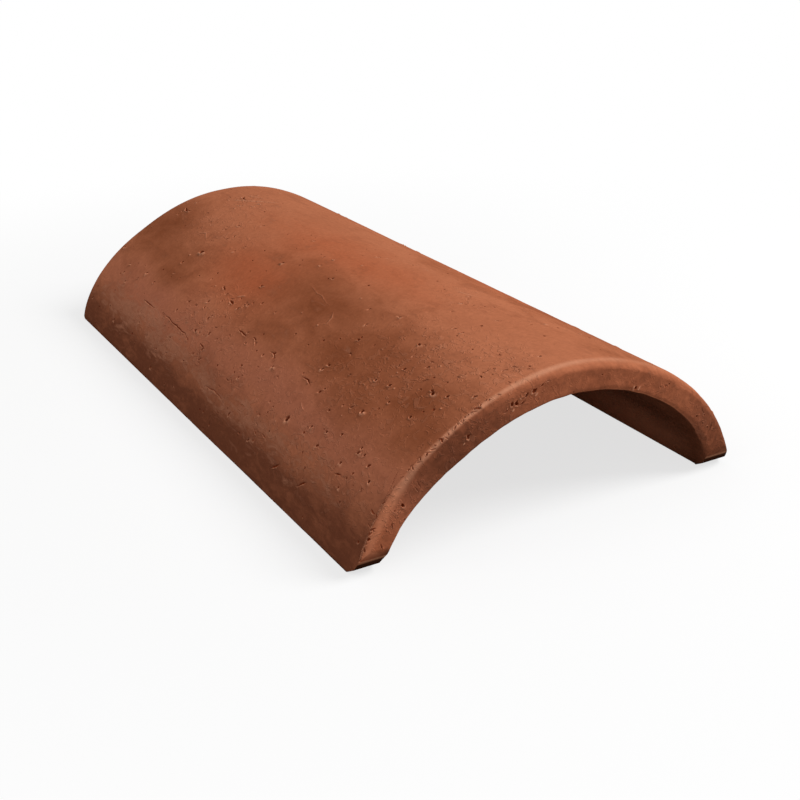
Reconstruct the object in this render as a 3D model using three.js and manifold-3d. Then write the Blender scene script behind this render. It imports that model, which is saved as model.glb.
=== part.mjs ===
// Straight barrel roof tile of fired clay: one arched wall of even thickness, open
// below and at both ends, which stands on the long cut edges of its two legs.
// Millimetres. +X runs across the tile, +Y from its front end to its back end, +Z up.
// The origin is on the ground, midway between the legs and midway along the tile.

import * as THREE from "three";
import { mergeVertices } from "three/addons/utils/BufferGeometryUtils.js";
import Module from "manifold-3d";

// Driving dimensions

const length = 360;
const width = 204; // outside the legs, where they meet the ground
const rise = 71.5; // ground to the outside of the crown
const wall = 13.5;
const archHalfAngle = 80; // degrees of the elliptic arch, from the crown to each foot

const frontArrisDepth = 3; // rolled outer edge at the front end, a quarter ellipse
const frontArrisReach = 6; // how far it reaches back along the tile
const frontThroatArris = 2; // rounding of the inner edge at the front end
const backArris = 2.5;
const backThroatArris = 1.5;

const toeHeight = 10.5; // slanted cut across the front corner of each foot
const toeDepth = 9;
const heelHeight = 3.5; // the same at the back
const heelDepth = 3;

const archSteps = 64; // facets round the arch
const arrisSteps = 4; // facets round each arris

const clay = new THREE.MeshStandardMaterial({ color: 0x96543a, roughness: 0.85, metalness: 0 });

// The outer face of the wall is an ellipse that the ground cuts off above or below its
// centre. Its path runs on a little below the ground, where the feet are cut flat.

const halfAngle = THREE.MathUtils.degToRad(archHalfAngle);
const halfBreadth = width / 2 / Math.sin(halfAngle);
const ellipseHeight = rise / (1 - Math.cos(halfAngle));
const centreHeight = rise - ellipseHeight;
const footAllowance = THREE.MathUtils.degToRad(4);

class OuterArch extends THREE.Curve {
  getPoint(t, target = new THREE.Vector3()) {
    const angle = (2 * t - 1) * (halfAngle + footAllowance);
    const across = halfBreadth * Math.sin(angle);
    return target.set(across, 0, centreHeight + ellipseHeight * Math.cos(angle));
  }
}

// The wall cut along the crown. x points to the front end, y is the depth below the
// outer face, and each of the four corners is rounded by its own arris.

function wallProfile() {
  const front = length / 2;
  const back = -length / 2;
  const quarter = Math.PI / 2;
  const profile = new THREE.Shape();
  profile.absellipse(
    front - frontArrisReach,
    frontArrisDepth,
    frontArrisReach,
    frontArrisDepth,
    -quarter,
    0,
  );
  profile.absarc(front - frontThroatArris, wall - frontThroatArris, frontThroatArris, 0, quarter);
  profile.absarc(back + backThroatArris, wall - backThroatArris, backThroatArris, quarter, 2 * quarter);
  profile.absarc(back + backArris, backArris, backArris, 2 * quarter, 3 * quarter);
  profile.closePath();
  return profile;
}

function archedWall() {
  return new THREE.ExtrudeGeometry(wallProfile(), {
    extrudePath: new OuterArch(),
    steps: archSteps,
    curveSegments: arrisSteps,
  });
}

// Cutters

const clear = 20; // how far each cutter stands out past what it cuts

function groundCutter() {
  const box = new THREE.BoxGeometry(width + 2 * clear, length + 2 * clear, clear);
  return box.translate(0, 0, -clear / 2);
}

// A wedge under a slanted line, from the given height on the end face down to the ground
// at the given depth behind it. It is drawn for the front end and turned for the back.

function footWedge(height, depth, atBack) {
  const overrun = 0.5; // the slant goes on past both ends, as a share of its length
  const onSlant = (share) => [-length / 2 + depth * share, height * (1 - share)];
  const [outY, topZ] = onSlant(-overrun);
  const [inY, lowZ] = onSlant(1 + overrun);
  const triangle = new THREE.Shape();
  triangle.moveTo(outY, topZ);
  triangle.lineTo(outY, lowZ);
  triangle.lineTo(inY, lowZ);
  triangle.closePath();
  const span = width + 2 * clear;
  const wedge = new THREE.ExtrudeGeometry(triangle, { depth: span, bevelEnabled: false });
  wedge.translate(0, 0, -span / 2); // shape x, shape y, span become Y, Z, X
  wedge.applyMatrix4(new THREE.Matrix4().set(0, 0, 1, 0, 1, 0, 0, 0, 0, 1, 0, 0, 0, 0, 0, 1));
  return atBack ? wedge.rotateZ(Math.PI) : wedge;
}

// Solids

const wasm = await Module();
wasm.setup();

function solidFrom(geometry) {
  const bare = geometry.clone();
  bare.deleteAttribute("normal");
  bare.deleteAttribute("uv");
  const merged = mergeVertices(bare);
  const vertProperties = new Float32Array(merged.attributes.position.array);
  const triVerts = new Uint32Array(merged.index.array);
  return new wasm.Manifold(new wasm.Mesh({ numProp: 3, vertProperties, triVerts }));
}

function geometryFrom(solid) {
  const { vertProperties, triVerts } = solid.getMesh();
  const geometry = new THREE.BufferGeometry();
  geometry.setAttribute("position", new THREE.BufferAttribute(new Float32Array(vertProperties), 3));
  geometry.setIndex(new THREE.BufferAttribute(new Uint32Array(triVerts), 1));
  const faceted = geometry.toNonIndexed();
  faceted.computeVertexNormals();
  return faceted;
}

function barrelTile() {
  const body = solidFrom(archedWall())
    .subtract(solidFrom(groundCutter()))
    .subtract(solidFrom(footWedge(toeHeight, toeDepth, false)))
    .subtract(solidFrom(footWedge(heelHeight, heelDepth, true)));
  const mesh = new THREE.Mesh(geometryFrom(body), clay);
  mesh.name = "barrel_tile";
  return mesh;
}

const tile = new THREE.Group();
tile.add(barrelTile());

export default tile;
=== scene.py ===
# A straight barrel roof tile of fired clay, lying on its two feet.
# It is made as the potter makes it: a flat slab is rolled out, its arrises are rolled over and
# its face takes its marks, then it is bent over a former and its feet are trimmed.

from math import cos, pi, radians, sin

import bmesh
import bpy
import numpy as np
from mathutils import Matrix, Vector, noise
from mathutils.kdtree import KDTree


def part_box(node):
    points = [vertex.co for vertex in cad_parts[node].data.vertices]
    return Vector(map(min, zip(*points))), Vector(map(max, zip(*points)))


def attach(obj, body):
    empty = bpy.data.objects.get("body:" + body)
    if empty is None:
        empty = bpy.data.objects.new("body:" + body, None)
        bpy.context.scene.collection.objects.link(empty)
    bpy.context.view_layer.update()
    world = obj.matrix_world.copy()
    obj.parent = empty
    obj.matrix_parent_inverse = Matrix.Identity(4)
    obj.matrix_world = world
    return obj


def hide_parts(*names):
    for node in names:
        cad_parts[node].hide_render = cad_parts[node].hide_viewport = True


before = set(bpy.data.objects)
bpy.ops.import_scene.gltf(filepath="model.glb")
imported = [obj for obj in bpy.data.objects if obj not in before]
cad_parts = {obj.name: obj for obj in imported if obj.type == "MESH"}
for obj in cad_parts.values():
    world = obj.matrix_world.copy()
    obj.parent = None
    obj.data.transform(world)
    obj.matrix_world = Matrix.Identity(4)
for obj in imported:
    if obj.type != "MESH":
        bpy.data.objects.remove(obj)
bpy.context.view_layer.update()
print("frame loaded")

mm = 0.001
tileLow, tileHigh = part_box("barrel_tile")


# Helpers

def addObject(name, data):
    made = bpy.data.objects.new(name, data)
    bpy.context.scene.collection.objects.link(made)
    return made


def emptyTree(owner):
    # the node tree of a material or a world, with nothing in it yet
    owner.use_nodes = True
    owner.node_tree.nodes.clear()
    return owner.node_tree


def linearColour(hexCode):
    parts = [int(hexCode[i:i + 2], 16) / 255 for i in (0, 2, 4)]
    linear = [p / 12.92 if p <= 0.04045 else ((p + 0.055) / 1.055) ** 2.4 for p in parts]
    return (*linear, 1.0)


def addNode(tree, kind, sockets=None, **settings):
    # a kind is named in full, apart from the shader nodes
    node = tree.nodes.new(kind if "Node" in kind else "ShaderNode" + kind)
    for name, value in settings.items():
        setattr(node, name, value)
    for key, value in (sockets or {}).items():
        if isinstance(value, bpy.types.Node):
            value = value.outputs[0]
        if isinstance(value, bpy.types.NodeSocket):
            tree.links.new(value, node.inputs[key])
        else:
            node.inputs[key].default_value = value
    return node


def shapeCurve(node, points):
    # puts the points on a float curve
    curve = node.mapping.curves[0]
    curve.points[0].location = points[0]
    curve.points[1].location = points[-1]
    for place in points[1:-1]:
        curve.points.new(*place)
    node.mapping.update()


def geometryTree(name, inputs):
    tree = bpy.data.node_groups.new(name, "GeometryNodeTree")
    tree.interface.new_socket(name="Geometry", in_out="INPUT", socket_type="NodeSocketGeometry")
    for label, kind in inputs.items():
        tree.interface.new_socket(name=label, in_out="INPUT", socket_type="NodeSocket" + kind)
    tree.interface.new_socket(name="Geometry", in_out="OUTPUT", socket_type="NodeSocketGeometry")
    return (tree, addNode(tree, "NodeGroupInput").outputs)


def finishTree(tree, geometry, material):
    # every tree ends alike: instances made real, then the clay put on
    real = addNode(tree, "GeometryNodeRealizeInstances", {"Geometry": geometry})
    dressed = addNode(tree, "GeometryNodeSetMaterial", {"Geometry": real, "Material": material})
    addNode(tree, "NodeGroupOutput", {"Geometry": dressed})


def runTree(mesh, tree, values):
    # runs a tree on a mesh and gives its result back as a plain mesh
    holder = addObject("holder", mesh)
    modifier = holder.modifiers.new(tree.name, "NODES")
    modifier.node_group = tree
    for item in tree.interface.items_tree:
        if item.in_out == "INPUT" and item.name in values:
            modifier[item.identifier] = values[item.name]
    depsgraph = bpy.context.evaluated_depsgraph_get()
    evaluated = holder.evaluated_get(depsgraph)
    result = bpy.data.meshes.new_from_object(evaluated, preserve_all_data_layers=True, depsgraph=depsgraph)
    bpy.data.objects.remove(holder)
    return result


# Fired clay

clayValues = {
    "body": "B66F4F",  # where the fire reached it evenly
    "patterns": {  # noise: size in mm, how much longer it runs along the tile, detail, distortion
        "cloud": (42.0, 1.8, 4.0, 0.6),
        "mottle": (11.0, 1.6, 5.0, 1.2),
        "fret": (15.0, 1.7, 8.0, 0.8),  # frays the edges of the stains
        "wisp": (5.0, 3.5, 6.0, 1.6),  # and of the salts that dried low on the flanks
        "freckle": (1.9, 1.0, 3.0, 0.0),
        "grain": (0.8, 1.0, 3.0, 0.0),  # drawn coarser than the real 0.2 mm sand so that it shows
        "peel": (5.5, 1.4, 2.0, 0.5),
        "flake": (4.4, 1.3, 2.0, 1.2),
        "curl": (6.0, 1.2, 3.0, 0.6),
        "broken": (5.0, 1.0, 3.0, 0.0),  # where the curls and the pinholes show
        "wipe": (1.9, 14.0, 2.0, 0.0),
    },
    "patternRoughness": 0.58,
    "tints": [  # laid on in this order: pattern, stain or painted light and shade, colour, from, to, greatest share, frayed by
        ("cloud", "A25E40", 0.45, 0.80, 0.4, {}),
        ("mottle", "9E5B3F", 0.50, 0.75, 0.3, {}),
        ("blush", "B05E3D", 0.05, 1.0, 0.9, {"fret": 0.7}),  # redder, where the flame passed
        ("mauve", "AF6A50", 0.05, 1.0, 0.8, {"fret": 0.8}),  # cooler bloom low on the flanks
        ("scorch", "8A4D31", 0.12, 1.0, 1.0, {"fret": 1.1}),  # smoke, where the next tile lay on it
        ("foot", "72412D", 0.05, 1.0, 1.0, {"fret": 0.9, "wisp": 0.9}),  # darker towards the feet on the flanks, and painted shade on the front end and inside near the ends
        ("bloom", "B87C60", 0.45, 1.05, 0.5, {"fret": 0.9, "wisp": 3.0}),  # pale lime streaks above that
        ("wornAndHighlit", "CA8B6C", 0.1, 0.9, 0.8, {"fret": 0.9}),  # rubbed arrises and lips, partly a painted highlight on the line of the rolled arris and on the raised lips
        ("flushedHighlight", "DA7A50", 0.05, 0.95, 0.5, {"fret": 0.5}),  # orange flush on the rolled arris low on the left, partly a painted highlight
        ("skinAndHighlight", "C78C70", 0.02, 0.35, 0.22, {}),  # torn skin rubbed pale, partly a painted highlight on the raised flakes
        ("shadedPinhole", "762A12", 0.0, 1.0, 0.9, {}),  # air holes too small for the mesh, painted dark as their shade
        ("pitShade", "7E3110", 0.0, 1.0, 0.92, {}),  # painted shade deep inside pits and gashes
        ("insideLight", "D98A66", 0.0, 1.0, 1.0, {}),  # painted light, low on the inside further in
        ("insideShade", "442112", 0.0, 1.0, 0.9, {}),  # painted shade on the inside, near its ends
        ("toeEdgeHighlight", "C78C6C", 0.0, 1.0, 0.5, {}),  # pale edge above the cut of each toe, partly rubbed and partly a painted highlight
        ("toeShade", "30150B", 0.0, 1.0, 0.95, {}),  # painted shade under the toes
    ],
    "relief": {"grain": 0.02, "peel": 0.18, "wipe": 0.03},  # mm high
    "flakeHeight": 0.2,  # mm, of the flakes of torn skin
    "flakeFrom": 0.575,  # a flake starts at this value of its noise
    "flakeFull": 0.615,  # and is whole at this one
    "curlHeight": 0.14,  # mm, of the fine curls between them
    "curlWidth": 0.035,  # share of its noise that one curl takes
    "brokenFrom": 0.46,
    "brokenFull": 0.60,
    "pinholeApart": 6.8,  # mm, one from the next
    "pinholeWide": 0.8,  # mm from its middle to its brim
    "pinholeFloor": 0.4,  # share of that which is level
    "pinholeDeep": 0.5,  # mm
    "toeFacing": (0, -0.6, -0.8),  # the way that the cut of each toe looks
    "toeFrom": 0.84,  # a face counts as cut where it looks nearly that way
    "toeFull": 0.9,
    "toeHeights": {"toeShade": (6.0, 7.2), "toeEdgeHighlight": (7.2, 9.0)},  # mm up, where each fades out
    "freckleNoise": (0.3, 0.7),
    "freckleShade": (0.92, 1.07),  # the darkest and the palest freckle
    "paintedLightFrom": (0.45, -0.2, 0.87),  # painted light falls from over there, near the key lamp
    "paintedLightTurn": 0.5,  # a face that leans this far that way has all of it
    "paintedLightShade": 0.4,  # so much paler as painted light there, and as much darker as painted shade the other way
    "roughness": 0.9,
    "specular": 0.0,  # unglazed and bone dry under its dust, so nothing shines
    "ior": 1.5,
}


def gatherSources(tree, place, values):
    # all that the colours and the relief read, by name: noises, and stains and painted light and shade kept
    # on the points
    sources = {}
    for name, (size, drawn, detail, distortion) in values["patterns"].items():
        scaled = addNode(tree, "Mapping", {
            "Vector": place, "Scale": (1000 / size, 1000 / size / drawn, 1000 / size)})
        sources[name] = addNode(tree, "TexNoise", {
            "Vector": scaled, "Scale": 1.0, "Detail": detail, "Roughness": values["patternRoughness"],
            "Distortion": distortion})
    for name in ("blush", "mauve", "scorch", "foot", "bloom", "wornAndHighlit", "flushedHighlight", "pitShade", "torn", "insideLight",
                 "insideShade", "leanToLight"):
        sources[name] = addNode(tree, "Attribute", attribute_name=name).outputs["Fac"]
    return sources


def tearSkin(tree, place, sources, values):
    # flakes and curls where the skin is torn, as a height in mm, which also places a painted highlight on
    # them
    flakes = addNode(tree, "MapRange", {
        "Value": sources["flake"], "From Min": values["flakeFrom"], "From Max": values["flakeFull"],
        "To Max": values["flakeHeight"]}, interpolation_type="SMOOTHSTEP")
    fromCurl = addNode(tree, "Math", {0: sources["curl"], 1: 0.5}, operation="SUBTRACT")
    offCurl = addNode(tree, "Math", {0: fromCurl}, operation="ABSOLUTE")
    curls = addNode(tree, "MapRange", {
        "Value": offCurl, "From Min": 0.0, "From Max": values["curlWidth"],
        "To Min": values["curlHeight"], "To Max": 0.0}, interpolation_type="SMOOTHSTEP")
    showing = addNode(tree, "MapRange", {
        "Value": sources["broken"], "From Min": values["brokenFrom"],
        "From Max": values["brokenFull"]}, interpolation_type="SMOOTHSTEP")
    both = addNode(tree, "Math", {0: curls, 1: showing, 2: flakes}, operation="MULTIPLY_ADD")
    sources["skinAndHighlight"] = addNode(tree, "Math", {0: both, 1: sources["torn"]}, operation="MULTIPLY")

    # pinholes: the face cuts through small round hollows strewn in the clay, and they are painted dark as
    # their shade
    apart = values["pinholeApart"]
    brim = values["pinholeWide"] / apart
    holes = addNode(tree, "TexVoronoi", {"Vector": place, "Scale": 1000 / apart})
    shadedPinhole = addNode(tree, "MapRange", {
        "Value": holes, "From Min": values["pinholeFloor"] * brim, "From Max": brim, "To Min": 1.0,
        "To Max": 0.0}, interpolation_type="SMOOTHSTEP")
    sources["shadedPinhole"] = addNode(tree, "Math", {0: shadedPinhole, 1: showing}, operation="MULTIPLY")


def markToes(tree, place, faces, sources, values):
    # painted shade under each toe where it faces the ground, and just above it a pale edge, partly rubbed
    # and partly a painted highlight
    under = addNode(tree, "VectorMath", {
        0: faces["True Normal"], 1: values["toeFacing"]}, operation="DOT_PRODUCT").outputs["Value"]
    cut = addNode(tree, "MapRange", {
        "Value": under, "From Min": values["toeFrom"], "From Max": values["toeFull"]})
    raised = addNode(tree, "SeparateXYZ", {0: place}).outputs["Z"]
    for name, (whole, gone) in values["toeHeights"].items():
        fading = addNode(tree, "MapRange", {
            "Value": raised, "From Min": whole * mm, "From Max": gone * mm, "To Min": 1.0, "To Max": 0.0})
        sources[name] = addNode(tree, "Math", {0: cut, 1: fading}, operation="MULTIPLY")


def layTints(tree, sources, values):
    colour = linearColour(values["body"])
    for name, tint, start, full, most, frays in values["tints"]:
        frayed = sources[name]
        for pattern, amount in frays.items():
            centred = addNode(tree, "Math", {0: sources[pattern], 1: 0.5}, operation="SUBTRACT")
            frayed = addNode(tree, "Math", {0: centred, 1: amount, 2: frayed}, operation="MULTIPLY_ADD")
        share = addNode(tree, "MapRange", {
            "Value": frayed, "From Min": start, "From Max": full, "To Max": most})
        colour = addNode(tree, "Mix", {
            "Factor": share, 6: colour, 7: linearColour(tint)}, data_type="RGBA").outputs[2]
    return colour


def addRelief(tree, sources, values):
    # the bump of the torn skin, and that with the even patterns on it; both too fine for the mesh
    height = 0.0
    for name, tall in values["relief"].items():
        height = addNode(tree, "Math", {0: sources[name], 1: tall, 2: height}, operation="MULTIPLY_ADD")
    pricked = addNode(tree, "Math", {
        0: sources["shadedPinhole"], 1: -values["pinholeDeep"], 2: sources["skinAndHighlight"]}, operation="MULTIPLY_ADD")
    rough = addNode(tree, "Bump", {"Height": pricked, "Strength": 1.0, "Distance": mm})
    bump = addNode(tree, "Bump", {"Height": height, "Strength": 1.0, "Distance": mm, "Normal": rough})
    return rough, bump


def paintLightOnRelief(tree, faces, rough, sources, values):
    # painted light and shade: whatever leans out of the surface towards the painted light is paler, and
    # what leans away is darker; the freckles are the clay's own tone
    tipped = addNode(tree, "VectorMath", {0: rough, 1: faces["Normal"]}, operation="SUBTRACT")
    upwards = addNode(tree, "VectorMath", {
        0: tipped, 1: values["paintedLightFrom"]}, operation="DOT_PRODUCT").outputs["Value"]
    leanToLight = addNode(tree, "Math", {0: upwards, 1: sources["leanToLight"]}, operation="ADD")
    paintedLightShade = addNode(tree, "MapRange", {
        "Value": leanToLight, "From Min": -values["paintedLightTurn"], "From Max": values["paintedLightTurn"],
        "To Min": 1 - values["paintedLightShade"], "To Max": 1 + values["paintedLightShade"]})
    faint, strong = values["freckleNoise"]
    darkest, palest = values["freckleShade"]
    freckles = addNode(tree, "MapRange", {
        "Value": sources["freckle"], "From Min": faint, "From Max": strong, "To Min": darkest,
        "To Max": palest})
    return addNode(tree, "Math", {0: paintedLightShade, 1: freckles}, operation="MULTIPLY")


def firedClay(values):
    # Terracotta, slab rolled, wiped by hand and kiln fired: matt, softly mottled, open grained
    material = bpy.data.materials.new("terracottaHandWiped")
    tree = emptyTree(material)
    place = addNode(tree, "TexCoord").outputs["Object"]
    faces = addNode(tree, "NewGeometry").outputs
    sources = gatherSources(tree, place, values)
    tearSkin(tree, place, sources, values)
    markToes(tree, place, faces, sources, values)
    rough, bump = addRelief(tree, sources, values)
    # painted light and shade on the relief, with the freckles
    paintedLightShade = paintLightOnRelief(tree, faces, rough, sources, values)
    colour = addNode(tree, "VectorMath", {
        0: layTints(tree, sources, values), "Scale": paintedLightShade}, operation="SCALE")
    shader = addNode(tree, "BsdfPrincipled", {
        "Base Color": colour, "Roughness": values["roughness"], "IOR": values["ior"],
        "Specular IOR Level": values["specular"], "Normal": bump})
    addNode(tree, "OutputMaterial", {"Surface": shader})
    return material


clay = firedClay(clayValues)
print("clay mixed")


# The slab

slabValues = {
    "wall": 13.5 * mm,
    "halfAngle": 80.0,  # degrees round the arch from the crown to each foot
    "footAllowance": 0.5,  # degrees more, trimmed off flat at the end
    "columns": 77,  # across the slab
    "rows": 91,  # along it
    "layers": 7,  # through it
    "rowSpacing": [(0, 0), (0.06, 0.03), (0.5, 0.5), (0.94, 0.97), (1, 1)],  # closer at both ends
    "layerSpacing": [(0, 0), (0.2, 0.15), (0.8, 0.85), (1, 1)],
    "onFace": 0.05 * mm,  # what lies this near to the inner face counts as on it
    "fineFront": (12.0 * mm, 9.0 * mm),  # behind the front end, split once for each
    "fineMarks": (1.2 * mm, 0.6 * mm, 0.25 * mm),  # round each mark, likewise
    "finest": 0.3 * mm,  # shorter edges stay whole
    "sharpFrom": 42.0,  # degrees
}

length = tileHigh.y - tileLow.y
halfAngle = radians(slabValues["halfAngle"])
halfBreadth = (tileHigh.x - tileLow.x) / 2 / sin(halfAngle)  # the arch is an ellipse cut off by the ground
ellipseHeight = tileHigh.z / (1 - cos(halfAngle))
centreHeight = tileHigh.z - ellipseHeight
unrolledRadius = (halfBreadth + ellipseHeight) / 2  # one radian round the arch is this far across the slab
slabBreadth = 2 * unrolledRadius * radians(slabValues["halfAngle"] + slabValues["footAllowance"])


def slabTree(rowSpacing, layerSpacing):
    # a box with its rows closer together near the arrises, which are rolled over later
    tree, given = geometryTree("claySlab", {
        "Breadth": "Float", "Length": "Float", "Wall": "Float", "Columns": "Int", "Rows": "Int",
        "Layers": "Int", "Clay": "Material"})
    box = addNode(tree, "GeometryNodeMeshCube", {
        "Size": (1, 1, 1), "Vertices X": given["Columns"], "Vertices Y": given["Rows"],
        "Vertices Z": given["Layers"]})
    corner = addNode(tree, "VectorMath", {
        0: addNode(tree, "GeometryNodeInputPosition"), 1: (0.5, 0.5, 0.5)}, operation="ADD")
    share = addNode(tree, "SeparateXYZ", {0: corner}).outputs
    rowCurve = addNode(tree, "FloatCurve", {"Value": share["Y"]})
    shapeCurve(rowCurve, rowSpacing)
    layerCurve = addNode(tree, "FloatCurve", {"Value": share["Z"]})
    shapeCurve(layerCurve, layerSpacing)
    spaced = addNode(tree, "CombineXYZ", {"X": share["X"], "Y": rowCurve, "Z": layerCurve})
    centred = addNode(tree, "VectorMath", {0: spaced, 1: (0.5, 0.5, 1.0)}, operation="SUBTRACT")
    size = addNode(tree, "CombineXYZ", {"X": given["Breadth"], "Y": given["Length"], "Z": given["Wall"]})
    sized = addNode(tree, "VectorMath", {0: centred, 1: size}, operation="MULTIPLY")
    slab = addNode(tree, "GeometryNodeSetPosition", {"Geometry": box.outputs["Mesh"], "Position": sized})
    finishTree(tree, slab, given["Clay"])
    return tree


def bendTree():
    # wraps the slab round the arch: across it becomes the angle, its depth goes in along the normal
    tree, given = geometryTree("bendOverFormer", {
        "Half Breadth": "Float", "Ellipse Height": "Float", "Centre Height": "Float",
        "Unrolled Radius": "Float", "Foot Taper": "Float", "Clay": "Material"})
    place = addNode(tree, "SeparateXYZ", {0: addNode(tree, "GeometryNodeInputPosition")}).outputs
    taper = addNode(tree, "Math", {
        0: place["Z"], 1: given["Foot Taper"], 2: 1.0}, operation="MULTIPLY_ADD")
    across = addNode(tree, "Math", {0: place["X"], 1: taper}, operation="MULTIPLY")
    angle = addNode(tree, "Math", {0: across, 1: given["Unrolled Radius"]}, operation="DIVIDE")
    sine = addNode(tree, "Math", {0: angle}, operation="SINE")
    cosine = addNode(tree, "Math", {0: angle}, operation="COSINE")
    spoke = addNode(tree, "CombineXYZ", {"X": sine, "Z": cosine})
    radii = addNode(tree, "CombineXYZ", {
        "X": given["Half Breadth"], "Y": 1.0, "Z": given["Ellipse Height"]})
    slope = addNode(tree, "VectorMath", {0: spoke, 1: radii}, operation="DIVIDE")
    normal = addNode(tree, "VectorMath", {0: slope}, operation="NORMALIZE")
    centre = addNode(tree, "CombineXYZ", {"Y": place["Y"], "Z": given["Centre Height"]})
    arch = addNode(tree, "VectorMath", {0: spoke, 1: radii, 2: centre}, operation="MULTIPLY_ADD")
    inwards = addNode(tree, "VectorMath", {0: normal, "Scale": place["Z"]}, operation="SCALE")
    bent = addNode(tree, "VectorMath", {0: arch, 1: inwards}, operation="ADD")
    moved = addNode(tree, "GeometryNodeSetPosition", {"Geometry": given["Geometry"], "Position": bent})
    finishTree(tree, moved, given["Clay"])
    return tree


# Marks in the clay. Each pit is (mm from the front end, degrees round the arch, radius mm).

pitsOnFace = [
    (93, -57, 1.0), (76, -57, 0.5), (62, -57.5, 0.5), (41, -57, 0.45), (30, -57, 0.45), (32, -59, 0.4),
    (34, -62.5, 0.45), (18, -56, 0.5), (24, -53, 0.55), (35, -52, 0.55), (52, -51, 0.5), (62, -53, 0.45),
    (73.5, -54.5, 0.45), (71, -48, 0.45), (52, -43, 0.7), (98, -40, 0.5), (86, -45.5, 0.5), (26, -37, 0.5),
    (44, -37, 0.45), (53, -33, 0.5), (63, -34, 0.5), (29, -28.5, 0.65), (31, -28, 0.5), (56, -27, 0.45),
    (98, -27, 0.5), (21, -27, 0.5), (10, -23, 0.5), (47, -23, 0.45), (66.5, -18.5, 0.5), (96.5, -14, 0.45),
    (60, -8, 0.45), (66, -8, 0.45), (92, 3.5, 0.55), (100, 9, 0.5), (201, -60.5, 0.5), (195, -57.5, 0.5),
    (215, -58, 0.45), (213, -54, 0.6), (208, -54, 0.45), (199, -52, 0.6), (211, -48.5, 0.6),
    (210, -47, 0.45), (149, -57, 0.5), (155, -56.5, 0.5), (153, -53.5, 0.45), (130, -48, 0.5),
    (144, -47, 0.45), (137, -44.5, 0.55), (224, -44, 0.6), (196, -40, 0.5), (183, -34, 0.5),
    (209, -18.5, 0.6), (165, -14, 0.5), (195, -8, 0.5), (277, -31, 1.1), (283, -38, 0.6),
    (283, -14.5, 0.6), (340, -20, 0.6), (310, 0.5, 0.6), (269, -9, 0.5), (305, -49, 0.55),
]

gougesOnFace = [  # (mm, degrees) along each gouge, then its radius and depth in mm
    ([(82, -69), (88, -72)], 0.5, 0.5), ([(57, -67.5), (63, -70.5)], 0.45, 0.5),
    ([(214, -57.8), (223, -57.2), (232, -57), (244, -56.8), (256, -56.3)], 0.35, 0.5),
    ([(268, -57), (286, -57.1)], 0.35, 0.45), ([(95, -46), (100, -44.8), (105, -45.2)], 0.4, 0.5),
    ([(155, -46.5), (159, -44.8), (163, -44.5)], 0.4, 0.5), ([(168, -45.5), (179, -45.2)], 0.45, 0.5),
    ([(133, -46.8), (137, -44.6), (141, -45.0)], 0.35, 0.5),
    ([(190, -59.5), (193, -61), (197, -58.5)], 0.4, 0.5), ([(194, -57), (201, -56.4)], 0.4, 0.5),
    ([(221, -37.6), (226, -36.8)], 0.5, 0.5), ([(341, -20.4), (347, -19.6)], 0.6, 0.6),
    ([(101, -66), (106, -65.6)], 0.35, 0.4), ([(110, -66.8), (115, -66)], 0.35, 0.4),
    ([(36, -59.6), (41, -60.4)], 0.4, 0.45), ([(203, -39.8), (208, -39.2)], 0.7, 0.7),
    ([(2.0, -77), (2.2, -70), (2.4, -64), (2.8, -59), (4.0, -55)], 0.5, 0.7),
    ([(3.8, -56), (5.0, -53), (6.2, -50.5), (7.4, -49.5)], 0.3, 0.3),
    ([(2.5, -65), (6, -64.6)], 0.3, 0.3), ([(150, -66), (163, -65.6), (176, -66.4)], 0.45, 0.3),
    ([(325, -1.6), (332, -0.2)], 0.85, 0.9), ([(4, -61.5), (8, -61.3)], 0.5, 0.5),
]

ridgesOnFace = [  # raised squiggles, given as the gouges are
    ([(170, -20.5), (152, -21.5), (140, -23)], 0.4, 0.12),
    ([(133, -24), (129, -25.5), (127, -28), (130, -29.5)], 0.45, 0.18),
    ([(306, 7), (314, 3), (322, -2), (333, -6)], 0.7, 0.3), ([(322, 5), (334, 1)], 0.6, 0.22),
    ([(97, 12), (105, 9), (112, 8)], 0.6, 0.18), ([(104, 14), (110, 14.5)], 0.5, 0.15),
    ([(200, -35.5), (207, -37)], 0.6, 0.2), ([(288, -26), (296, -24), (304, -25)], 0.5, 0.16),
    ([(61, -33), (64, -35), (68, -34.5)], 0.45, 0.13), ([(65, -37), (68, -36.6)], 0.45, 0.13),
    ([(85, -52.5), (92, -51)], 0.45, 0.12),
]

grainsOnFace = [  # grit that stands up, given as the pits are
    (49, -33, 0.55), (79, -25.5, 0.5), (71, -15.5, 0.5), (33, -12.5, 0.5), (131, -30, 0.5),
    (150, -29.5, 0.45), (131, -15, 0.5), (313, -8, 0.6), (331, -6, 0.6), (57, -29, 0.5), (17, -31, 0.6),
    (42, -21, 0.5), (232, -38, 0.5), (284, -34, 0.6), (100, -60, 0.5), (61, -47, 0.45),
]

pitsOnEnd = [  # (mm below the face, degrees, radius mm) on the front end
    (4.7, -10.6, 0.7), (5.6, -17.2, 0.7), (6.5, -31.5, 0.6), (7.0, -56.5, 0.7), (5.5, 10.5, 0.4),
    (5.0, 35, 0.4), (6.0, 55, 0.5), (8.0, 60, 0.5), (11.4, 23.6, 0.8),
]

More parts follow.
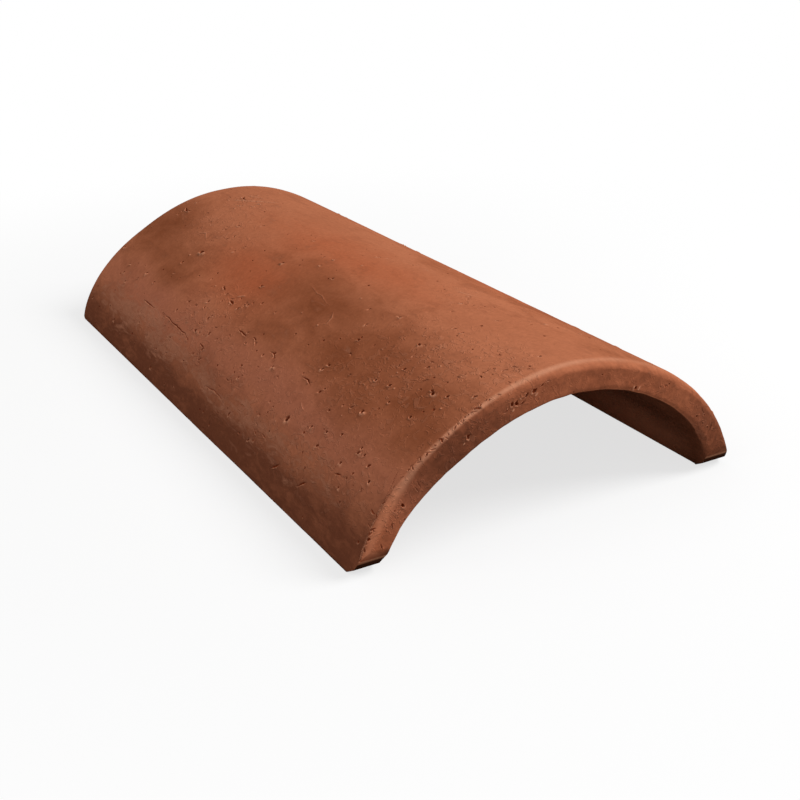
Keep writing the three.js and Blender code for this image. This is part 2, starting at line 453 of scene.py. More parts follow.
gougesOnEnd = [  # (degrees, mm below the face) along each gouge, then its radius and depth
    ([(-7.6, 3.2), (-8.4, 4.4)], 0.45, 0.5), ([(-9.6, 4.2), (-10.8, 5.8)], 0.65, 0.7),
    ([(-12.4, 4.4), (-13.6, 6.0)], 0.5, 0.55), ([(-13.4, 7.2), (-15.0, 8.2)], 0.45, 0.45),
    ([(-15.6, 5.4), (-16.6, 7.2)], 0.65, 0.65), ([(-18.6, 7.0), (-20.4, 7.6)], 0.4, 0.4),
    ([(-5.6, 2.6), (-7.0, 3.0)], 0.35, 0.35), ([(-30.5, 6.2), (-32.5, 6.9)], 0.45, 0.5),
    ([(-49, 5.0), (-50, 8.4)], 0.3, 0.25), ([(-51, 6.0), (-51.6, 9.0)], 0.3, 0.25),
    ([(-62, 7.0), (-64, 8.6)], 0.35, 0.35), ([(-69, 6.2), (-71, 8.8)], 0.35, 0.35),
    ([(52, 4.6), (55, 6.0)], 0.3, 0.3), ([(60, 5.0), (62.5, 7.6)], 0.3, 0.3),
]

crumbsOnEnd = [  # raised, given as the gouges are
    ([(22.4, 10.2), (23.2, 12.4)], 0.6, 0.6), ([(24.6, 9.8), (24.4, 12.0)], 0.55, 0.55),
    ([(-9.2, 6.2), (-10.4, 7.2)], 0.55, 0.5), ([(-17.0, 8.2), (-17.8, 8.8)], 0.55, 0.5),
    ([(-14.6, 5.8), (-14.9, 4.9)], 0.4, 0.4), ([(-18.8, 6.0), (-19.2, 7.4)], 0.4, 0.3),
    ([(-33.0, 7.6), (-33.6, 7.9)], 0.45, 0.35),
]

grainHeight = 0.6  # of its radius

tearValues = {  # short tears across the rolled arris, down the left
    "from": -77.0,  # degrees
    "to": -10.0,
    "apart": 0.85,
    "astray": (-0.5, 0.5),
    "slant": (-1.2, 1.6),
    "start": (-1.0, 1.2),  # mm off the place given by hand, and mm as all below
    "length": (0.84, 2.8),
    "radius": (0.231, 0.429),
    "depth": (0.225, 0.585),
}

scratchValues = {  # bent scratches where the skin is torn
    "number": 9,  # in each torn place
    "bends": 4,
    "bend": (-0.8, 0.8),  # radians
    "edge": 77.0,  # degrees, and none beyond this at the feet
    "margin": 3.0,  # mm left clear at each end, and mm as all below
    "step": (0.4, 1.0),  # from bend to bend
    "radius": (0.224, 0.416),
    "depth": (0.21, 0.504),
}

strokeValues = {  # how a stroke wavers
    "step": 0.5,  # of its radius, from one dent to the next
    "thinnest": 0.35,  # at its ends
    "uneven": 0.25,
    "unevenSize": 2.5,  # mm
    "sway": 1.2,
    "swaySize": 6.25,
    "lip": 0.5,  # of its depth
}

scatterValues = {
    "density": 4200.0,  # pits for each square metre where the clay is most open
    "apart": 3.5 * mm,
    "clusterSize": 28.0,  # mm
    "clusterNoise": (0.42, 0.66),
    "smallest": 0.35 * mm,
    "largest": 0.7 * mm,
    "handPlaced": 1.3,  # how much wider the pits on the face are than they are given
    "depths": (1.0, 1.6),  # of the radius
    "stretch": (1.0, 1.6),
    "lips": (0.2, 0.6),  # of the depth
    "outer": 0.9,  # share of the wall that has them, as the former smoothed the inside
    "seed": 11,
}

shapeValues = {
    "backReach": 2.5,  # mm, as the next two
    "backThroat": 1.5,
    "footArris": 0.7,
    "footTaper": 1.6,  # how much a metre of depth narrows the slab, so that its feet end level
    "toe": [(0, 12.5), (1.4, 8.2), (4.6, 3.0), (9.5, 0)],  # front corner of each foot: mm along, up
    "heel": [(0, 3.5), (3.0, 0)],
    "bead": 0.45,  # mm high
    "beadBack": 1.4,  # mm back to its middle, and from there to either side
    "beadDown": 0.3,  # share of the wall that has it
    "ragged": 0.04,  # the front arris wavers by this share of its size
    "lumpy": 0.14,  # and more slowly by this
    "tornRagged": 0.08,  # and by this more where it is torn, on the left
    "tornAt": (-80, -74, -30, -20),  # degrees, where that starts, is whole, and stops
    "crumbled": 0.35,  # the inner arris likewise
    "waves": [  # of the face: mm deep, how deep on the whole, mm from one to the next, more on the end
        (0.22, 0.2, 55, 0),
        (0.10, 0.3, 14, 1),
        (0.05, 0.3, 3.5, 3),
    ],
    "seed": 3.7,
    "fuzzy": 0.35,  # how uneven the marks are
    "markReach": 2.2,  # radii that a mark reaches, with its lip
    "lipOut": 1.3,  # radii out to the lip
    "lipWide": 0.3,
    "wiped": (-0.85, -0.4, -0.3),  # the hand drew a lip up on this side of each pit
    "outwards": 0.6,  # a point of the outer face looks out at least this much
}

# Hand-made unevenness: degrees round the arch, and what the clay has there
handMade = {
    "sag": {  # mm that the face lies off the true arch
        "at": (-90, -75, -55, -35, -12, 12, 38, 65, 90),
        "front": (0, -0.4, 0.5, -1.0, 0.1, 0.1, 0.4, 0.5, 0),
        "back": (0, 0.8, -1.9, -4.2, -1.6, -0.3, -1.6, -0.3, 0),
    },
    "wall": {  # mm thick
        "at": (-75, -65, -55, -40, -20, 0, 20, 45, 60, 75),
        "front": (11.6, 12.3, 14.0, 15.0, 14.5, 13.2, 13.3, 13.4, 13.4, 14.0),
    },
    "roll": {  # the rolled front arris, in mm
        "at": (-80, -65, -55, -45, -35, -25, -10, 5, 20, 40, 60, 80),
        "reach": (1.3, 1.6, 1.9, 2.6, 3.4, 4.6, 6.4, 8.6, 8.4, 6.6, 5.0, 4.0),  # back along the face
        "drop": (3.0, 4.0, 4.5, 4.5, 4.0, 3.6, 2.8, 2.2, 2.9, 3.4, 3.4, 2.4),  # down the end
        "turn": (84, 84, 86, 88, 88, 84, 76, 68, 62, 68, 80, 84),  # degrees that it turns through
        "paleBack": (-1.0, -2.0, -1.0, 0.2, 1.3, 2.1, 3.2, 5.4, 4.8, 4.0, 2.0, 1.0),  # its rubbed line, partly a painted highlight
        "paleWide": (2.0, 2.6, 2.8, 1.8, 1.5, 1.4, 1.9, 2.2, 2.6, 2.6, 2.4, 2.0),
        "pale": (0.7, 0.62, 0.9, 0.75, 0.95, 1.0, 1.0, 0.8, 0.35, 0.2, 0.3, 0.2),  # share
    },
    "throat": {  # crumbled inner arris, in mm
        "at": (-80, -15, 0, 6, 14, 21, 26, 45, 60, 80),
        "reach": (1.5, 1.5, 2.0, 3.4, 3.8, 3.2, 1.9, 1.9, 3.2, 3.6),
    },
    "tears": {
        "at": (-78, -66, -60, -56, -51, -46, -40, -34, -27, -20, -10),
        "share": (1.0, 1.0, 0.5, 0.15, 0.15, 1.0, 0.9, 0.7, 0.8, 0.4, 0.2),  # how many are there
        "back": (2.0, 2.0, 2.8, 3.6, 3.2, 2.2, 2.0, 2.2, 2.8, 3.2, 3.8),  # mm to where they start
    },
    "bead": {
        "at": (-82, -78, -70, -56, -44, -30),
        "share": (0.3, 0.7, 1.0, 0.8, 0.1, 0),
    },
    "end": {  # the front end, and the painted shade laid on it with the foot tint
        "at": (-80, -66, -57, -49, -40, -25, -10, 30, 50, 65, 80),
        "endShade": (0.25, 0.3, 0.0, 0.95, 1.0, 0.75, 0.35, 0.4, 0.5, 0.85, 0.85),
    },
}
blur = 5.0  # degrees over which a row's values run into each other

noises = {  # mm from one wave to the next, and a seed
    "ragged": (1.6, 1.3),
    "lumpy": (9.0, 2.1),
    "crumbled": (6.0, 7.7),
    "fuzzy": (1.4, 5.1),
    "astray": (30.0, 6.1),
    "adrift": (24.0, 4.6),
}


# Stains and rough places on the face: (mm from the front, degrees, mm long, degrees wide, strength)
stains = {
    "blush": [(205, -3, 75, 12, 0.7), (145, -1, 50, 10, 0.5), (215, -28, 60, 15, 1.0),
              (120, 35, 80, 16, 0.7), (280, 45, 60, 16, 0.8)],
    "mauve": [(90, -53, 130, 11, 1.0), (270, -56, 130, 11, 1.0), (100, 58, 130, 11, 0.9),
              (270, 60, 120, 11, 0.9)],
    "scorch": [(25, -36, 58, 16, 0.9), (92, -30, 58, 20, 0.85), (150, -23, 42, 14, 0.95),
               (165, -40, 36, 9, 0.5), (205, -15, 36, 7, 0.45), (285, -40, 40, 11, 0.8),
               (340, -31, 40, 19, 1.0), (60, 32, 60, 16, 0.5), (190, 50, 70, 14, 0.7),
               (320, 36, 50, 12, 0.5), (20, 20, 30, 9, 0.3), (150, 22, 70, 9, 0.4)],
    "bloom": [(75, -65, 80, 6, 0.6), (150, -66, 70, 5, 0.8), (250, -63, 80, 8, 1.0), (320, -63, 50, 7, 0.8),
              (110, 66, 90, 6, 0.8), (270, 64, 80, 7, 0.8)],
    "torn": [(40, -16, 55, 14, 1.0), (20, -12, 16, 7, 0.9), (50, -34, 65, 14, 0.9), (60, -60, 90, 12, 1.0),
             (150, -60, 70, 10, 0.8), (212, -53, 40, 12, 1.0), (205, -40, 26, 8, 0.7),
             (290, -20, 50, 12, 0.7), (318, -2, 34, 10, 0.8), (100, 6, 24, 6, 0.7), (250, -64, 70, 8, 0.7),
             (90, 30, 80, 18, 0.7), (60, 60, 90, 12, 0.9), (260, 45, 80, 18, 0.6)],
}

paintValues = {  # how they lie
    "astray": 9.0,  # mm that they stray from their ovals
    "adrift": 4.0,  # and degrees
    "endBlush": 0.5,  # share on the front end
    "endTorn": 0.15,
    "footFrom": 55.8,  # degrees round the arch where the darker foot tint starts
    "footUp": 4.0,  # it starts so much higher at the front end
    "footUpOver": 15.0,  # mm
    "footOver": 16.0,  # degrees further down it is whole
    "insideLightDown": (60.0, 72.0),  # degrees, where the painted light on the inside starts and is whole
    "insideLightIn": (10.0, 50.0),  # and mm from the nearer end
    "insideLightHides": (0.7, 0.6),  # shares of the inside foot tint and of the painted shade near the ends that it takes away
    "insideShadeIn": 80.0,  # mm from the nearer end to where the painted shade inside stops
    "insideShadeFrom": 0.35,
    "flushHighlightAt": (-58.0, -50.0),  # degrees, where the flush and painted highlight on the rolled arris is whole and stops
    "lipPale": 0.28 * mm,  # a lip of this height is fully pale, partly rubbed and partly a painted highlight
    "lineDown": 0.6,  # share of the wall that has the rubbed line and its painted highlight
    "pitShadeFrom": 0.105 * mm,  # a pit is painted with shade from this depth
    "pitShadeDepth": 0.3 * mm,  # and is dark so much deeper
}


def scatterTree(clusterNoise):
    # air holes and lost grit, thrown over the slab in loose clusters
    tree, given = geometryTree("scatterPits", {
        "Density": "Float", "Apart": "Float", "Cluster Scale": "Float", "Smallest": "Float",
        "Largest": "Float", "Seed": "Int", "Clay": "Material"})
    clusters = addNode(tree, "TexNoise", {"Scale": given["Cluster Scale"], "Detail": 1.0})
    share = addNode(tree, "MapRange", {
        "Value": clusters, "From Min": clusterNoise[0], "From Max": clusterNoise[1]})
    points = addNode(tree, "GeometryNodeDistributePointsOnFaces", {
        "Mesh": given["Geometry"], "Distance Min": given["Apart"], "Density Max": given["Density"],
        "Density Factor": share, "Seed": given["Seed"]}, distribute_method="POISSON")
    radius = addNode(tree, "FunctionNodeRandomValue", {
        2: given["Smallest"], 3: given["Largest"], "Seed": given["Seed"]}, data_type="FLOAT")
    kept = addNode(tree, "GeometryNodeStoreNamedAttribute", {
        "Geometry": points, "Name": "pitRadius", "Value": radius.outputs[1]}, data_type="FLOAT")
    corners = addNode(tree, "GeometryNodePointsToVertices", {0: kept})
    finishTree(tree, corners, given["Clay"])
    return tree


def byHand(degrees, row, kind):
    # values given at a few angles, joined by a smooth line with no kinks
    grid = np.arange(-95.0, 96.0)
    margin = int(3 * blur)
    weights = np.exp(-0.5 * (np.arange(-margin, margin + 1) / blur) ** 2)
    joined = np.pad(np.interp(grid, handMade[row]["at"], handMade[row][kind]), margin, mode="edge")
    return np.interp(degrees, grid, np.convolve(joined, weights / weights.sum(), mode="valid"))


def slabPoint(alongMm, degrees, depthMm=0.0):
    # a place on the flat slab, from mm behind the front end and degrees round the arch
    return (radians(degrees) * unrolledRadius, alongMm * mm - length / 2, -depthMm * mm)


def tearArris(chance, values):
    # tears given as the gouges are
    tears = []
    for step in np.arange(values["from"], values["to"], values["apart"]):
        degrees = step + chance.uniform(*values["astray"])
        if chance.uniform() > byHand(degrees, "tears", "share"):
            continue
        start = byHand(degrees, "tears", "back") + chance.uniform(*values["start"])
        end = start - chance.uniform(*values["length"])
        slanted = degrees + chance.uniform(*values["slant"])
        route = [(start, degrees), (max(end, 0), slanted)]
        if end < 0:  # it goes on down the end
            route.append((0, slanted, -end))
        tears.append((route, chance.uniform(*values["radius"]), chance.uniform(*values["depth"])))
    return tears


def scratchSkin(chance, values):
    # scratches given as the gouges are
    scratches = []
    for along, degrees, size, width, strength in stains["torn"]:
        for _ in range(int(values["number"] * strength)):
            spot = np.array([along + size * chance.normal() / 2, degrees + width * chance.normal() / 2])
            turn = chance.uniform(0, 2 * pi)
            bend = chance.uniform(*values["bend"])
            route = [spot]
            for _ in range(values["bends"]):
                step = chance.uniform(*values["step"])
                spot = spot + (step * cos(turn), np.degrees(step * mm * sin(turn) / unrolledRadius))
                turn += bend
                route.append(spot)
            if all(values["margin"] < place < length / mm - values["margin"]
                   and abs(angle) < values["edge"] for place, angle in route):
                scratches.append((route, chance.uniform(*values["radius"]),
                                  chance.uniform(*values["depth"])))
    return scratches


def strokeMarks(route, radius, depth):
    # a stroke is a row of small dents that wavers along its route and fades at its ends
    values = strokeValues
    corners = np.array([slabPoint(*corner) for corner in route])
    lengths = np.r_[0, np.cumsum(np.linalg.norm(np.diff(corners, axis=0), axis=1))]
    for share in np.linspace(0, 1, int(lengths[-1] / (values["step"] * radius * mm)) + 2):
        middle = [np.interp(share * lengths[-1], lengths, corners[:, k]) for k in range(3)]
        uneven = 1 + values["uneven"] * noise.noise(Vector(middle) * (1000 / values["unevenSize"]))
        fade = max(values["thinnest"], sin(pi * share) ** 0.5) * uneven
        middle[0] += noise.noise(Vector(middle) * (1000 / values["swaySize"])) * values["sway"] * mm
        yield (*middle, radius * fade * mm, depth * fade * mm, 1.0, 0.0, values["lip"])


def gatherMarks(mesh, values):
    # every mark is a row: x, y, z on the flat slab, radius, depth, stretch, turn, lip
    chance = np.random.default_rng(values["seed"])
    strokes = gougesOnFace + [(route, radius, -depth) for route, radius, depth in ridgesOnFace]
    strokes += [([(along, degrees), (along + radius, degrees)], radius, -grainHeight * radius)
                for along, degrees, radius in grainsOnFace]
    for way, marksOnEnd in ((1, gougesOnEnd), (-1, crumbsOnEnd)):
        for route, radius, depth in marksOnEnd:
            strokes.append(([(0, degrees, down) for degrees, down in route], radius, way * depth))
    strokes += tearArris(chance, tearValues)
    strokes += scratchSkin(chance, scratchValues)
    rows = [row for stroke in strokes for row in strokeMarks(*stroke)]

    wider = values["handPlaced"] * mm
    pits = [(slabPoint(along, degrees), radius * wider) for along, degrees, radius in pitsOnFace]
    pits += [(slabPoint(0, degrees, down), radius * mm) for down, degrees, radius in pitsOnEnd]
    scattered = runTree(mesh.copy(), scatterTree(values["clusterNoise"]), {
        "Density": values["density"], "Apart": values["apart"],
        "Cluster Scale": 1000 / values["clusterSize"], "Smallest": values["smallest"],
        "Largest": values["largest"], "Seed": values["seed"], "Clay": clay})
    radii = scattered.attributes["pitRadius"].data
    deepest = -values["outer"] * slabValues["wall"]
    pits += [(vertex.co, radius.value) for vertex, radius in zip(scattered.vertices, radii)
             if vertex.co.z > deepest]
    for centre, radius in pits:
        rows.append((*centre, radius, radius * chance.uniform(*values["depths"]),
                     chance.uniform(*values["stretch"]), chance.uniform(0, pi),
                     chance.uniform(*values["lips"])))
    print("marks", len(rows), "of them scattered", len(radii))
    return np.array(rows)


def refine(solid, wanted):
    # splits the edges whose middle is wanted, which leaves the rest of the slab coarse
    middles = np.array([(e.verts[0].co + e.verts[1].co) / 2 for e in solid.edges])
    lengths = np.array([e.calc_length() for e in solid.edges])
    edges = [e for e, take in zip(solid.edges, wanted(middles, lengths)) if take]
    bmesh.ops.subdivide_edges(solid, edges=edges, cuts=1, use_grid_fill=True)


def searchTree(points):
    tree = KDTree(len(points))
    for index, point in enumerate(points.tolist()):
        tree.insert(point, index)
    tree.balance()
    return tree


def nearMarks(marks, room, finest):
    def wanted(middles, lengths):
        near = np.zeros(len(middles), bool)
        tree = searchTree(middles)
        for mark in marks:
            reach = mark[3] * mark[5] + room
            near[[index for _, index, _ in tree.find_range(mark[:3], reach)]] = True
        return near & (lengths > finest)
    return wanted


def smoothNoise(points, size, seed):
    # Perlin noise, about -1 to 1, with waves about size mm long
    shift = Vector((seed, -2 * seed, 3 * seed))
    scale = 1 / (size * mm)
    return np.array([noise.noise(Vector(p) * scale + shift) for p in points.tolist()])


def softPatches(along, degrees, patches):
    # soft oval patches laid together, each (mm from the front, degrees, mm long, degrees wide, strength)
    share = np.zeros(len(along))
    for middle, angle, size, width, strength in patches:
        reach = ((along - middle) / size) ** 2 + ((degrees - angle) / width) ** 2
        share = 1 - (1 - share) * (1 - strength * np.exp(-1.3 * reach))
    return share


def rollArris(a, b, reach, drop, fullTurn=90):
    # a and b are the distances from the two faces that meet at an edge. Points on those faces
    # near the edge move onto an elliptic arc, which runs reach along a and drop along b. An arc
    # that turns through less than 90 degrees meets the second face at a line.
    onEdge = (a < 0.01 * mm) | (b < 0.01 * mm)
    share = np.clip(np.where(b < a, a / reach, -b / drop), -1, 1)
    whole = np.radians(fullTurn)
    turn = whole / 2 * (1 - share)
    moved = onEdge & (np.abs(share) < 1)
    alongA = reach * (1 - np.sin(turn) / np.sin(whole))
    alongB = drop * (1 - np.cos(turn)) / (1 - np.cos(whole))
    return np.where(moved, alongA, a), np.where(moved, alongB, b)


def rollEnd(row, z, way, limit, level, reach, drop, fullTurn=90):
    # rolls the arris between one end of the slab and its face at that level
    side = 1 if level else -1
    a, b = rollArris(limit - way * row, side * (z - level), reach, drop, fullTurn)
    return way * (limit - a), side * b + level


def formSlab(flat, degrees, values, wall):
    # rolls every arris over and makes the wall uneven. Gives the new places, and how far each
    # point is from the front arris in mm: back along the face, or down the end below zero
    x, y, z = flat.T.copy()
    half = length / 2
    back, backThroat, foot = (np.full(len(flat), values[name] * mm)
                              for name in ("backReach", "backThroat", "footArris"))
    edgeWalk = np.c_[x, 0 * x, 0 * x]
    torn = np.interp(degrees, values["tornAt"], (0, 1, 1, 0))
    fine = (values["ragged"] + values["tornRagged"] * torn) * smoothNoise(edgeWalk, *noises["ragged"])
    ragged = 1 + fine + values["lumpy"] * smoothNoise(edgeWalk, *noises["lumpy"])
    reach = byHand(degrees, "roll", "reach") * mm * ragged
    drop = byHand(degrees, "roll", "drop") * mm * ragged
    y, z = rollEnd(y, z, -1, half, 0, reach, drop, byHand(degrees, "roll", "turn"))
    fromEdge = (y + half + z) / mm
    crumbled = 1 + values["crumbled"] * smoothNoise(edgeWalk, *noises["crumbled"])
    throat = byHand(degrees, "throat", "reach") * mm * crumbled
    y, z = rollEnd(y, z, -1, half, -wall, throat, throat)
    y, z = rollEnd(y, z, 1, half, 0, back, back)
    y, z = rollEnd(y, z, 1, half, -wall, backThroat, backThroat)
    for level in (0, -wall):
        x, z = rollEnd(x, z, np.sign(x), slabBreadth / 2, level, foot, foot)

    # low on the left the rolled arris stands up in a bead
    fromBead = (y + half - values["beadBack"] * mm) / (values["beadBack"] * mm)
    beadHigh = values["bead"] * byHand(degrees, "bead", "share") * ragged
    z += beadHigh * mm * np.exp(-fromBead ** 2) * (z > -values["beadDown"] * wall)

    # the wall is thinner in the left leg at the front, and the left shoulder sags at the back
    behind = (y + half) / length
    thickness = byHand(degrees, "wall", "front") * mm * (1 - behind) + wall * behind
    sag = byHand(degrees, "sag", "front") * (1 - behind) + byHand(degrees, "sag", "back") * behind
    return np.c_[x, y, z * thickness / wall + sag * mm], fromEdge


def pressMarks(flat, places, normals, marks, values):
    # moves the places, and gives how deep each is sunk and how high a lip or ridge stands there
    fuzz = smoothNoise(flat, *noises["fuzzy"])
    sunk = np.zeros(len(flat))
    move = np.zeros((len(flat), 3))
    rim = np.zeros(len(flat))
    flatTree = searchTree(flat)
    placeTree = searchTree(places)
    for mark in marks:
        seat = flatTree.find(mark[:3])[1]
        normal = normals[seat]
        radius, depth, stretch, turn, lip = mark[3:]
        reach = values["markReach"] * radius * stretch
        near = [index for _, index, _ in placeTree.find_range(places[seat], reach)]
        offset = places[near] - places[seat]
        first = np.cross(normal, (cos(turn), sin(turn), 0.3))
        first /= np.linalg.norm(first)
        second = np.cross(normal, first)
        across = np.hypot(offset @ second, offset @ normal)
        share = np.hypot(offset @ first / stretch, across) / radius * (1 + values["fuzzy"] * fuzz[near])
        if depth < 0:
            rim[near] = np.maximum(rim[near], -depth * np.clip(1 - share ** 2, 0, 1))
            continue
        bowl = np.clip(1 - share ** 3, 0, 1) * depth
        deeper = bowl > sunk[near]
        sunk[near] = np.where(deeper, bowl, sunk[near])
        move[near] = np.where(deeper[:, None], -normal * bowl[:, None], move[near])
        oneSide = np.clip(0.2 + offset @ values["wiped"] / radius, 0, 1)
        fromLip = (share - values["lipOut"]) / values["lipWide"]
        rim[near] = np.maximum(rim[near], oneSide * lip * depth * np.exp(-fromLip ** 2))
    places += move + normals * rim[:, None] * (sunk == 0)[:, None]
    return sunk, rim


def layStains(flat, along, degrees, onEnd, values, wall):
    # how strong each stain, and each painted light and shade, is at each point
    astray = values["astray"] * smoothNoise(flat, *noises["astray"])
    adrift = values["adrift"] * smoothNoise(flat, *noises["adrift"])
    fields = {name: softPatches(along + astray, degrees + adrift, patches)
              for name, patches in stains.items()}
    fields["scorch"] *= 1 - onEnd
    fields["blush"] = np.maximum(fields["blush"], values["endBlush"] * onEnd)
    fields["torn"] = np.clip(fields["torn"] + values["endTorn"] * onEnd, 0, 1)
    footFrom = values["footFrom"] - values["footUp"] * np.exp(-along / values["footUpOver"]) - adrift / 2
    fields["foot"] = np.clip((np.abs(degrees) - footFrom) / values["footOver"], 0, 1) * (1 - onEnd)
    # the front end is painted with shade, in the foot tint
    fields["foot"] += byHand(degrees, "end", "endShade") * onEnd

    # inside, painted shade darkens both ends, and painted light lifts the low walls further in
    inside = (flat[:, 2] < slabValues["onFace"] - wall) & (onEnd < 0.3)
    within = np.minimum(along, length / mm - along)
    low = np.interp(np.abs(degrees), values["insideLightDown"], (0, 1))
    deep = np.interp(within, values["insideLightIn"], (0, 1))
    insideShade = np.interp(within, (0, values["insideShadeIn"]), (1, 0)) ** 0.7 * inside
    hidden, faded = values["insideLightHides"]
    # inside, the foot tint is painted shade too, near both ends
    fields["foot"][inside] = (insideShade * (1 - hidden * low * deep))[inside]
    fields["insideLight"] = inside * low * deep
    fields["insideShade"] = np.clip(insideShade * (1 - faded * low * (1 + deep) / 2) - values["insideShadeFrom"], 0, 1)
    return fields


def readVectors(items, name):
    numbers = np.empty(len(items) * 3)
    items.foreach_get(name, numbers)
    return numbers.reshape(-1, 3)


def shapeSlab(mesh, marks, values, wall):
    # all that happens to the slab while it is flat
    flat = readVectors(mesh.vertices, "co")
    degrees = np.degrees(flat[:, 0] / unrolledRadius)
    places, fromEdge = formSlab(flat, degrees, values, wall)
    along = (places[:, 1] + length / 2) / mm
    mesh.vertices.foreach_set("co", places.ravel())
    mesh.update()
    normals = readVectors(mesh.vertex_normals, "vector")

    # waves and tooth only go inwards, so that the tile keeps its size
    onEnd = np.clip(-normals[:, 1] * 1.5 - 0.3, 0, 1)  # 1 on the front end, 0 on the faces
    depth = np.zeros(len(flat))
    for high, level, size, more in values["waves"]:
        depth += high * (level + 0.6 * smoothNoise(flat, size, values["seed"])) * (1 + more * onEnd)
    places -= normals * np.maximum(depth, 0)[:, None] * mm
    sunk, rim = pressMarks(flat, places, normals, marks, values)
    mesh.vertices.foreach_set("co", places.ravel())
    mesh.update()

    paint = paintValues
    fields = layStains(flat, along, degrees, onEnd, paint, wall)
    # the rubbed line along the rolled arris, partly a painted highlight
    fromLine = (fromEdge - byHand(degrees, "roll", "paleBack")) / byHand(degrees, "roll", "paleWide")
    rubbedHighlightLine = np.exp(-fromLine ** 2) * byHand(degrees, "roll", "pale")
    rubbedHighlightLine *= flat[:, 2] > -paint["lineDown"] * wall
    fields["wornAndHighlit"] = np.clip(rubbedHighlightLine + rim / paint["lipPale"], 0, 1)
    fields["flushedHighlight"] = rubbedHighlightLine * np.interp(degrees, paint["flushHighlightAt"], (1, 0))
    # painted shade in the pits and gashes, by how deep each point is sunk
    fields["pitShade"] = np.clip((sunk - paint["pitShadeFrom"]) / paint["pitShadeDepth"], 0, 1)
    for name, share in fields.items():
        layer = mesh.attributes.new(name, "FLOAT", "POINT")
        layer.data.foreach_set("value", share)


def trim(solid, corner, normal):
    # cuts off what lies beyond a plane and closes the cut
    faces = list(solid.faces)
    geometry = list(solid.verts) + list(solid.edges) + faces
    cut = bmesh.ops.bisect_plane(solid, geom=geometry, plane_co=corner, plane_no=normal, clear_outer=True)
    rim = [e for e in cut["geom_cut"] if isinstance(e, bmesh.types.BMEdge)]
    bmesh.ops.holes_fill(solid, edges=rim)


def markLeanToLight(mesh):
    # how far each point of the outer face leans towards the painted light, against the true arch, for the
    # painted light and shade
    layer = mesh.attributes.new("leanToLight", "FLOAT", "POINT")
    for vertex in mesh.vertices:
        spoke = Vector((vertex.co.x / halfBreadth, (vertex.co.z - centreHeight) / ellipseHeight))
        level = Vector((spoke[0] / halfBreadth, 0, spoke[1] / ellipseHeight)).normalized()
        if level.dot(vertex.normal) > shapeValues["outwards"]:
            layer.data[vertex.index].value = (vertex.normal - level).dot(Vector(clayValues["paintedLightFrom"]))


def makeTile(values):
    wall = values["wall"]
    mesh = runTree(bpy.data.meshes.new("blank"), slabTree(values["rowSpacing"], values["layerSpacing"]), {
        "Breadth": slabBreadth, "Length": length, "Wall": wall, "Columns": values["columns"],
        "Rows": values["rows"], "Layers": values["layers"], "Clay": clay})
    print("slab", len(mesh.vertices), "vertices")
    marks = gatherMarks(mesh, scatterValues)

    solid = bmesh.new()
    solid.from_mesh(mesh)
    front = -length / 2
    withInside, faceOnly = values["fineFront"]
    inner = values["onFace"] - wall
    refine(solid, lambda m, size: (m[:, 2] > inner) | (m[:, 1] < front + withInside))
    refine(solid, lambda m, size: (m[:, 1] < front + faceOnly) & (m[:, 2] > inner))
    for room in values["fineMarks"]:
        refine(solid, nearMarks(marks, room, values["finest"]))
    solid.to_mesh(mesh)
    solid.free()
    print("refined", len(mesh.vertices), "vertices")
    shapeSlab(mesh, marks, shapeValues, wall)
    mesh = runTree(mesh, bendTree(), {
        "Half Breadth": halfBreadth, "Ellipse Height": ellipseHeight, "Centre Height": centreHeight,
        "Unrolled Radius": unrolledRadius, "Foot Taper": shapeValues["footTaper"], "Clay": clay})

    solid = bmesh.new()
    solid.from_mesh(mesh)
    for outline, end, way in ((shapeValues["toe"], front, 1), (shapeValues["heel"], length / 2, -1)):
        for (along, up), (nextAlong, nextUp) in zip(outline, outline[1:]):
            corner = (0, end + way * along * mm, up * mm)
            trim(solid, corner, (0, -way * (up - nextUp), along - nextAlong))
    for vertex in solid.verts:  # nothing stands outside the true size
        vertex.co = [min(max(c, low), high) for c, low, high in zip(vertex.co, tileLow, tileHigh)]
    bmesh.ops.triangulate(solid, faces=[f for f in solid.faces if len(f.verts) > 4])
    solid.to_mesh(mesh)
    solid.free()
    markLeanToLight(mesh)
    mesh.materials.clear()
    mesh.materials.append(clay)
    mesh.polygons.foreach_set("material_index", [0] * len(mesh.polygons))
    mesh.shade_smooth()
    mesh.set_sharp_from_angle(angle=radians(values["sharpFrom"]))
    mesh.name = "barrel_tile_clay"
    return mesh


tile = addObject("barrel_tile_clay", makeTile(slabValues))
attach(tile, "root")
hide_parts("barrel_tile")
tile.data.calc_loop_triangles()
print("tile made,", len(tile.data.loop_triangles), "triangles")


# Studio: a plain pale floor, two soft lights and an even surround

studioValues = {
    "floorRadius": 8.0,  # metres, as all below
    "floorSides": 64,
    "shadowFrom": 0.2,
    "shadowRadius": 0.55,  # the floor fades to white this far from the tile
    "shadowShare": 0.28,
    "floorPale": (0.95, 0.95, 0.95, 1.0),
    "floorDull": (0.5, 0.5, 0.5, 1.0),  # as it lights the tile
    "lamps": {  # direction from the tile, distance, size and its share of a facing surface's colour
        "keySoftbox": ((0.62, -0.35, 0.70), 2.0, 1.0, 0.83),
        "fillSoftbox": ((-0.86, 0.0, 0.50), 2.0, 1.6, 0.22),
    },
    "surround": 0.31,  # strength, where 1 is white
    "white": (1.0, 1.0, 1.0, 1.0),
}


def seenWhite(tree):
    # 1 for rays from the camera, and for those that gloss or glass sends on
    rays = addNode(tree, "LightPath").outputs
    mirrored = addNode(tree, "Math", {
        0: rays["Is Glossy Ray"], 1: rays["Is Transmission Ray"]}, operation="MAXIMUM")
    return addNode(tree, "Math", {0: rays["Is Camera Ray"], 1: mirrored}, operation="MAXIMUM")


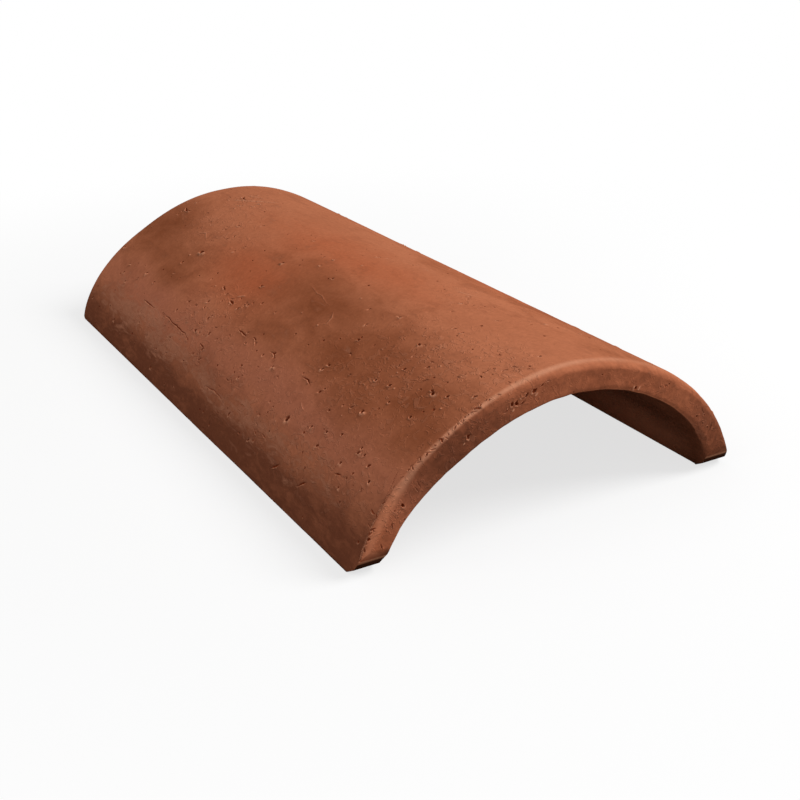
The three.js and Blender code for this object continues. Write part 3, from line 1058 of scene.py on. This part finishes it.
def paleFloor(values):
    # matt white studio floor; it sends little light back up, so the arch stays dark below
    material = bpy.data.materials.new("paintedFloorMattWhite")
    tree = emptyTree(material)
    seen = seenWhite(tree)
    place = addNode(tree, "TexCoord").outputs["Object"]
    away = addNode(tree, "VectorMath", {0: place}, operation="LENGTH").outputs["Value"]
    shade = addNode(tree, "MapRange", {
        "Value": away, "From Min": values["shadowFrom"], "From Max": values["shadowRadius"],
        "To Min": values["shadowShare"], "To Max": 0.0}, interpolation_type="SMOOTHSTEP")
    pale = addNode(tree, "BsdfDiffuse", {"Color": values["floorPale"]})
    white = addNode(tree, "Emission", {"Strength": 1.0})
    shown = addNode(tree, "MixShader", {0: shade, 1: white, 2: pale})
    dull = addNode(tree, "BsdfDiffuse", {"Color": values["floorDull"]})
    mixed = addNode(tree, "MixShader", {0: seen, 1: dull, 2: shown})
    addNode(tree, "OutputMaterial", {"Surface": mixed})
    return material


def addFloor(values):
    sheet = bmesh.new()
    bmesh.ops.create_circle(sheet, cap_ends=True, segments=values["floorSides"],
                          radius=values["floorRadius"])
    mesh = bpy.data.meshes.new("floor")
    sheet.to_mesh(mesh)
    sheet.free()
    mesh.materials.append(paleFloor(values))
    floor = addObject("floor", mesh)


def addLights(values):
    for name, (direction, distance, size, share) in values["lamps"].items():
        lamp = bpy.data.lights.new(name, "AREA")
        lamp.shape = "DISK"
        lamp.size = size
        lamp.energy = share * (pi * distance) ** 2
        holder = addObject(name, lamp)
        away = Vector(direction).normalized()
        holder.location = away * distance
        holder.rotation_euler = away.to_track_quat("Z", "Y").to_euler()

    world = bpy.data.worlds.new("paleSurround")
    tree = emptyTree(world)
    seen = seenWhite(tree)
    even = addNode(tree, "Background", {"Color": values["white"], "Strength": values["surround"]})
    white = addNode(tree, "Background", {"Color": values["white"], "Strength": 1.0})
    mixed = addNode(tree, "MixShader", {0: seen, 1: even, 2: white})
    addNode(tree, "OutputWorld", {"Surface": mixed})
    bpy.context.scene.world = world


addFloor(studioValues)
addLights(studioValues)
print("studio lit")


# Camera

cameraValues = {
    "turn": 30.54,  # degrees to the left of the tile's front end
    "tilt": 23.91,  # degrees above the ground
    "distance": 676.8 * mm,
    "aside": 20.9 * mm,
    "above": -10.55 * mm,
    "lens": 54.87,  # mm
    "sensor": 36.0,
    "nearest": 10 * mm,
}


def addCamera(values):
    turn = radians(values["turn"])
    tilt = radians(values["tilt"])
    right = Vector((cos(turn), -sin(turn), 0))
    up = Vector((sin(turn) * sin(tilt), cos(turn) * sin(tilt), cos(tilt)))
    forward = Vector((sin(turn) * cos(tilt), cos(turn) * cos(tilt), -sin(tilt)))
    lens = bpy.data.cameras.new("camera")
    lens.lens = values["lens"]
    lens.sensor_width = values["sensor"]
    lens.clip_start = values["nearest"]
    camera = addObject("camera", lens)
    place = right * values["aside"] + up * values["above"] - forward * values["distance"]
    camera.matrix_world = Matrix.Translation(place) @ Matrix((right, up, -forward)).transposed().to_4x4()
    bpy.context.scene.camera = camera


addCamera(cameraValues)
bpy.context.scene.view_settings.view_transform = "Standard"
